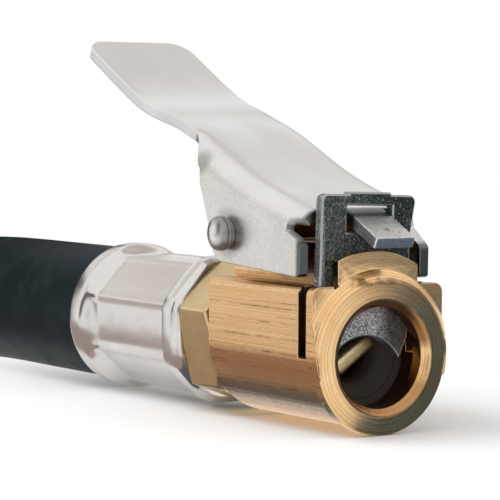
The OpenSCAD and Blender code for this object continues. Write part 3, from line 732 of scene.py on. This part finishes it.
def make_lever():
    """Stamped sheet of one thickness, its cut edges a little rounded."""
    lever = piece("nickel_lever", lever_sheet(), (nickel,), "lever", "lever", sharp=70)
    wall = lever.modifiers.new("sheet_thickness", "SOLIDIFY")
    wall.thickness = SHEET * MM
    wall.offset = -1
    wall.use_even_offset = True
    round_edges(lever, 0.15, 3, 50)


def make_pin():
    """Lever pin: peened over on one side, and turned with a grooved, domed end on the other."""
    dome_y, dome_rise, dome_r = 9.12, 0.68, 1.77
    dome = [(dome_y + dome_rise * math.sin(a), dome_r * math.cos(a))
            for a in (math.radians(9 * k) for k in range(11))]
    profile = [(-8.95, 0), (-8.95, 1.6), (-8.8, 1.95), (-8.55, 2.27), (-8.05, 2.27), (-8.05, 1.5),
               (8.05, 1.5), (8.05, 1.62), (8.5, 1.62), (8.5, 1.3), (8.9, 1.3), (8.92, 1.7),
               (8.98, dome_r), *dome]
    piece("grooved_pin", spun(profile, 64, "Y", PIN), (pin_steel,), "housing",
          "lever_pin", bevel=0.05)
    piece("retaining_ring", merged("pin_ring"), (pin_steel,), "housing", "pin_ring",
          bevel=0.08)


# ---------------------------------------------------------- springs and hose

def smooth_curve(name, points, radius, mat, rounds, steps):
    """A round cord or wire of a radius in millimetres, through points in metres."""
    curve = bpy.data.curves.new(name, "CURVE")
    curve.dimensions = "3D"
    curve.bevel_depth = radius * MM
    curve.bevel_resolution = rounds
    curve.resolution_u = steps
    curve.use_fill_caps = True
    spline = curve.splines.new("BEZIER")
    spline.bezier_points.add(len(points) - 1)
    for point, place in zip(spline.bezier_points, points):
        point.co = place
        point.handle_left_type = point.handle_right_type = "AUTO"
    curve.materials.append(mat)
    return curve


def in_metres(place):
    return tuple(MM * c for c in place)


def make_wire(name, points, radius, node):
    """A round spring wire through points in millimetres."""
    points = [in_metres(p) for p in points]
    line = linked(name + "_line", smooth_curve(name, points, radius, wire, rounds=3, steps=4))
    mesh = bpy.data.meshes.new_from_object(line)
    bpy.data.objects.remove(line)
    bm = bmesh.new()
    bm.from_mesh(mesh)
    bmesh.ops.remove_doubles(bm, verts=bm.verts, dist=0.001 * MM)
    bmesh.ops.recalc_face_normals(bm, faces=bm.faces)
    bm.to_mesh(mesh)
    bm.free()
    mesh.shade_smooth()
    mesh.set_sharp_from_angle(angle=math.radians(60))
    obj = linked(name, mesh)
    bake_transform(obj)
    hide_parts(node)


def make_torsion_spring():
    """Coil round the pin, with one leg down on the housing and one up under the lever."""
    pin_x, _, pin_z = PIN
    coil_r, pitch, steps, step_angle, first_angle = 2.4, 0.65, 24, 20, 293
    mid_y = (4.85 + HALF_WIDTH - SHEET) / 2
    sweep_y = pitch * steps * step_angle / 360
    turn, start = math.radians(step_angle), math.radians(first_angle)
    points = [(pin_x - 0.9, sweep_y / 2 - mid_y, SHOULDER_Z + 1.5)]
    points += [(pin_x + coil_r * math.cos(start + turn * i),
                sweep_y / 2 - mid_y - sweep_y * i / steps,
                pin_z + coil_r * math.sin(start + turn * i)) for i in range(steps + 1)]
    points.append((pin_x - 5.4, -mid_y - sweep_y / 2, pin_z + 6.4))
    make_wire("torsion_spring", points, 0.3, "lever_spring")


def make_valve_spring():
    """Coil behind the blade's flange."""
    front, rear, coil_r, turns, steps = -10.7, -15.1, 2.35, 4, 16
    points = [(front + (rear - front) * i / (turns * steps),
               coil_r * math.cos(2 * math.pi * i / steps),
               coil_r * math.sin(2 * math.pi * i / steps)) for i in range(turns * steps + 1)]
    make_wire("valve_spring", points, 0.25, "poppet_spring")


HOSE_R = 7.64
START_X, BELL, STRAIGHT, TURN_R, RETURN = -46.1, 2.7, 45.0, 62.0, 55.0
REST_Z, FAR_Z = -0.05, 0.8


def hose_route():
    """From the ferrule straight back, round one turn on the floor, and beside itself forward."""
    exit_x = START_X - BELL
    turn_x = exit_x - STRAIGHT
    far_y = -2 * TURN_R
    far_x = turn_x + RETURN
    third = STRAIGHT / 3
    route = [(START_X, 0, RISE), (exit_x, 0, RISE),
             (turn_x + 2 * third, 0, RISE), (turn_x + third, 0, RISE - 0.1)]
    for step in range(16):
        a = math.radians(12 * step)
        route.append((turn_x - (TURN_R - 0.5) * math.sin(a), -TURN_R + TURN_R * math.cos(a),
                      REST_Z))
    route += [(turn_x + third, far_y, REST_Z + 0.2), (turn_x + 2 * third, far_y, FAR_Z - 0.1),
              (far_x, far_y, FAR_Z), (far_x + BELL, far_y, FAR_Z)]
    return [in_metres(p) for p in route]


def make_hose(route):
    curve = smooth_curve("hose_line", route, HOSE_R, hose_rubber, rounds=14, steps=12)
    hose = linked("rubber_hose", curve)
    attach(hose, "housing")
    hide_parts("hose")
    return hose


# ---------------------------------------------------------------- fittings

FERRULE_R, ACROSS_FLATS, ACROSS_COLLAR, RIDGE, CRIMP_TURN = 8.3, 14.2, 15.9, 0.14, 2


def pressed(across, angle, ridge):
    """Distance from the axis to eight slightly full flats, with a ridge squeezed up between."""
    step, fullness, ridge_half = math.radians(45), 0.8, 0.45
    off = (angle - math.radians(CRIMP_TURN) + step / 2) % step - step / 2
    from_ridge = (step / 2 - abs(off)) * across / 2
    raised = ridge * math.exp(-(from_ridge / ridge_half) ** 2)
    return across / 2 / math.cos(off) ** fullness + raised


def make_ferrule(name, node, shift):
    """Plated tube: round at the hose, eight flats pressed in, an eight-sided collar in front."""
    r, f, full = FERRULE_REAR_X, FERRULE_FRONT_X, FERRULE_R
    ramp = [(r + 2.0 + 0.25 * k, full) for k in range(14)]
    step = [(f - 3.5 + 0.12 * k, full) for k in range(8)]
    profile = [(r + 2.7, 6.1), (r + 2.7, 7.7), (r, 7.72), (r, 7.95), (r + 0.12, 8.15),
               (r + 0.35, 8.27), (r + 0.6, full), *ramp, (r + 8, full), (f - 8, full), *step,
               (f - 1.2, full), (f - 0.8, 8.28), (f - 0.45, 8.15), (f - 0.18, 7.9), (f, 7.45),
               (f, 5.0), (f - 0.4, 4.9), (f - 1.2, 4.9), (f - 1.2, 6.1), (r + 2.7, 6.1)]
    bm = spun(profile, 180, "X")
    for vert in bm.verts:
        x, y, z = vert.co
        reach = math.hypot(y, z)
        if reach < 7.3:
            continue
        angle = math.atan2(z, y)
        flat = pressed(ACROSS_FLATS, angle, RIDGE)
        collar = min(pressed(ACROSS_COLLAR, angle, 0), full)
        wanted = reach
        if x > f - 3.6:
            tapering = reach / full
            wanted = flat + (collar * tapering - flat) * smooth_step(x, f - 3.4, f - 2.7)
        elif x > r + 1:
            wanted = reach + (flat - reach) * smooth_step(x, r + 2.2, r + 4.9)
        vert.co.y *= wanted / reach
        vert.co.z *= wanted / reach
    bmesh.ops.translate(bm, verts=bm.verts, vec=[a + b for a, b in zip(shift, (0, 0, RISE))])
    piece(name, bm, (plate,), "housing", node, sharp=40)


def make_hexagon_tail():
    piece("hexagon_tail", merged("hose_tail"), (hexed,), "housing", "hose_tail",
          bevel=0.22, segments=3)


def make_far_fitting():
    """Male pipe fitting: its thread is cut to depth and then wound round the core."""
    centre_y, centre_z = FAR_SHIFT[1], RISE
    hex_x, end_x, end_r = -8.7, 2.3, 5.7
    pitch, turns, core_r, crest_r = 1.337, 6, 5.75, 6.58
    bm = merged("far_tail")
    for vert in bm.verts:
        y, z = vert.co.y - centre_y, vert.co.z - centre_z
        reach = math.hypot(y, z)
        if vert.co.x > hex_x + 1 and reach > 6.4:
            vert.co.y = centre_y + y * core_r / reach
            vert.co.z = centre_z + z * core_r / reach
    tooth = [(0, 5.6), (0.5, 6.5), (0.6, crest_r), (0.7, 6.5), (1.2, 5.6)]
    ridge = bmesh.new()
    verts = [ridge.verts.new((hex_x + 1.9 + a, 0, radius)) for a, radius in tooth]
    edges = [ridge.edges.new((verts[i - 1], verts[i])) for i in range(len(verts))]
    bmesh.ops.spin(ridge, geom=verts + edges, cent=(0, 0, 0), axis=(1, 0, 0),
                   dvec=(pitch * turns, 0, 0), angle=2 * math.pi * turns, steps=40 * turns)
    bmesh.ops.holes_fill(ridge, edges=ridge.edges, sides=len(tooth))
    bmesh.ops.recalc_face_normals(ridge, faces=ridge.faces)
    for vert in ridge.verts:
        reach = math.hypot(vert.co.y, vert.co.z)
        allowed = min(crest_r, end_r + max(end_x - vert.co.x, 0))
        factor = min(1, allowed / reach)
        vert.co = (min(vert.co.x, end_x), centre_y + vert.co.y * factor,
                   centre_z + vert.co.z * factor)
    mesh = bpy.data.meshes.new("ridge")
    ridge.to_mesh(mesh)
    ridge.free()
    bm.from_mesh(mesh)
    bpy.data.meshes.remove(mesh)
    piece("threaded_fitting", bm, (hexed,), "housing", "far_tail")


make_housing()
make_gasket()
make_blade()
make_jaw()
make_lever()
make_pin()
make_torsion_spring()
make_valve_spring()
make_hexagon_tail()
make_ferrule("crimped_ferrule", "ferrule", (0, 0, 0))
make_ferrule("far_crimped_ferrule", "far_ferrule", FAR_SHIFT)
make_far_fitting()
route = hose_route()
hose = make_hose(route)
on_hose = [nodes[n] for n in ("far_hose_end", "far_washer")]
on_hose += [bpy.data.objects[n] for n in ("far_crimped_ferrule", "threaded_fitting")]

# the run put away on the table is left out of what the chuck mirrors
for name in ("rubber_hose", "far_crimped_ferrule", "threaded_fitting"):
    bpy.data.objects[name].visible_glossy = False

for name, mat in {
    "gasket_washer": brass, "poppet_seal": seal_rubber, "tail_washer": plate,
    "hose_end": hose_rubber, "far_hose_end": hose_rubber, "far_washer": fibre,
}.items():
    mesh = nodes[name].data
    mesh.materials.clear()
    mesh.materials.append(mat)


# ------------------------------------------------------------------- stage

def seen_directly(mat):
    """1 for what the camera sees, itself or in metal, and 0 for light on its way."""
    path = add(mat, "LightPath")
    seen = add(mat, "Math", {"operation": "MAXIMUM"}, i0=path.outputs["Is Camera Ray"],
               i1=path.outputs["Is Glossy Ray"]).outputs[0]
    return add(mat, "Math", {"operation": "MAXIMUM"}, i0=seen,
               i1=path.outputs["Is Transmission Ray"]).outputs[0]


def make_floor():
    """White floor that keeps the object's soft shadow and turns to plain white further off."""
    bm = bmesh.new()
    bmesh.ops.create_grid(bm, x_segments=1, y_segments=1, size=3)
    bmesh.ops.translate(bm, verts=bm.verts, vec=(0, 0, FLOOR_Z * MM))
    mesh = bpy.data.meshes.new("floor")
    bm.to_mesh(mesh)
    bm.free()
    mat = material("pale_floor")
    paint = add(mat, "BsdfDiffuse", Color=linear("FAFAFA"))
    white = add(mat, "Emission", Color=linear("FFFFFF"), Strength=1.0)
    plain = add(mat, "Math", {"operation": "MULTIPLY"}, i0=seen_directly(mat),
                i1=near_point(mat, (-20, 0, 0), 10, 80, SMOOTH)).outputs[0]
    both = add(mat, "MixShader", Fac=plain, i1=paint.outputs[0], i2=white.outputs[0])
    add(mat, "OutputMaterial", Surface=both.outputs[0])
    mesh.materials.append(mat)
    linked("floor", mesh)


def make_card(name, tint, corners):
    """A card beside the camera's view, which only the metal mirrors. Corners in millimetres."""
    bm = bmesh.new()
    bmesh.ops.contextual_create(bm, geom=[bm.verts.new(in_metres(p)) for p in corners])
    mesh = bpy.data.meshes.new(name)
    bm.to_mesh(mesh)
    bm.free()
    mat = material(name)
    glow = add(mat, "Emission", Color=linear(tint), Strength=1.0)
    add(mat, "OutputMaterial", Surface=glow.outputs[0])
    mesh.materials.append(mat)
    card = linked(name, mesh)
    card.visible_camera = card.visible_diffuse = card.visible_shadow = False


def lying_card(name, tint, corners, above_floor=0.05):
    make_card(name, tint, [(x, y, FLOOR_Z + above_floor) for x, y in corners])


def oblong_card(name, tint, x0, y0, x1, y1):
    lying_card(name, tint, [(x0, y0), (x1, y0), (x1, y1), (x0, y1)])


def standing_card(name, tint, start, end, low, high):
    make_card(name, tint, [(*start, low), (*end, low), (*end, high), (*start, high)])


def lamp(name, place, target, size, power):
    data = bpy.data.lights.new(name, "AREA")
    data.shape = "RECTANGLE"
    data.size, data.size_y = size
    data.energy = power
    obj = linked(name, data)
    obj.location = place
    obj.rotation_euler = (Vector(target) - Vector(place)).to_track_quat("-Z", "Y").to_euler()
    obj.visible_glossy = False


def make_world():
    """Plain white room: its light is held level, and it looks white where it is seen."""
    world = bpy.data.worlds.new("studio")
    scene.world = world
    world.use_nodes = True
    world.node_tree.nodes.clear()
    light = add(world, "Background", Color=linear("FFFFFF"), Strength=0.75)
    white = add(world, "Background", Color=linear("FFFFFF"), Strength=1.0)
    both = add(world, "MixShader", Fac=seen_directly(world), i1=light.outputs[0],
               i2=white.outputs[0])
    add(world, "OutputWorld", Surface=both.outputs[0])


make_floor()
make_world()
# the cards give the metal its darker and warmer reflections, in a room that is otherwise white
standing_card("right_card", "4D5D6E", (40, 250), (247, 158), -7.7, 130)
# a dark card lying on the floor to the front right, standing in for the object's shadow there: a
# painted shadow in what the metal mirrors
lying_card("low_card", "4D5D6E", [(1.5, -3), (247, 158), (40, 250), (-5, 12)])
# a dark card on the floor under the body's near side, standing in for the floor's shade there:
# painted shade in what the metal mirrors
oblong_card("near_card", "5E6068", -30, -9, -2, -5.2)
# a pale glowing card under the body, where the floor lies in the body's shade: painted light in
# what the metal mirrors
oblong_card("glow_card", "FFF6F0", -24, -5.0, -0.5, 4)
oblong_card("side_card", "A89A94", -110, -34, -2, -9)
standing_card("tail_card", "C6C2BC", (-354, 132), (-26, 360), 305, 640)
standing_card("fold_card", "C4C2BE", (-354, 132), (-26, 360), 64, 158)
standing_card("back_card", "3A3436", (-112, -36), (-112, 30), -7.7, 34)
standing_card("near_side_card", "3E383A", (-178, -205), (-100, -250), -7, 160)
lying_card("strip_card", "3E383A", [(-124, -98), (-243, -233), (-159, -284), (-91, -118)], 0.1)
standing_card("camera_card", "4A4644", (290, -300), (370, -190), -7, 150)
standing_card("ridge_card", "DAD5CF", (-300, -90), (-300, 90), 150, 235)
lamp("key", (-0.25, -0.35, 0.5), (-0.02, 0, 0.01), (0.5, 0.4), 2.5)
scene.view_settings.view_transform = "Standard"
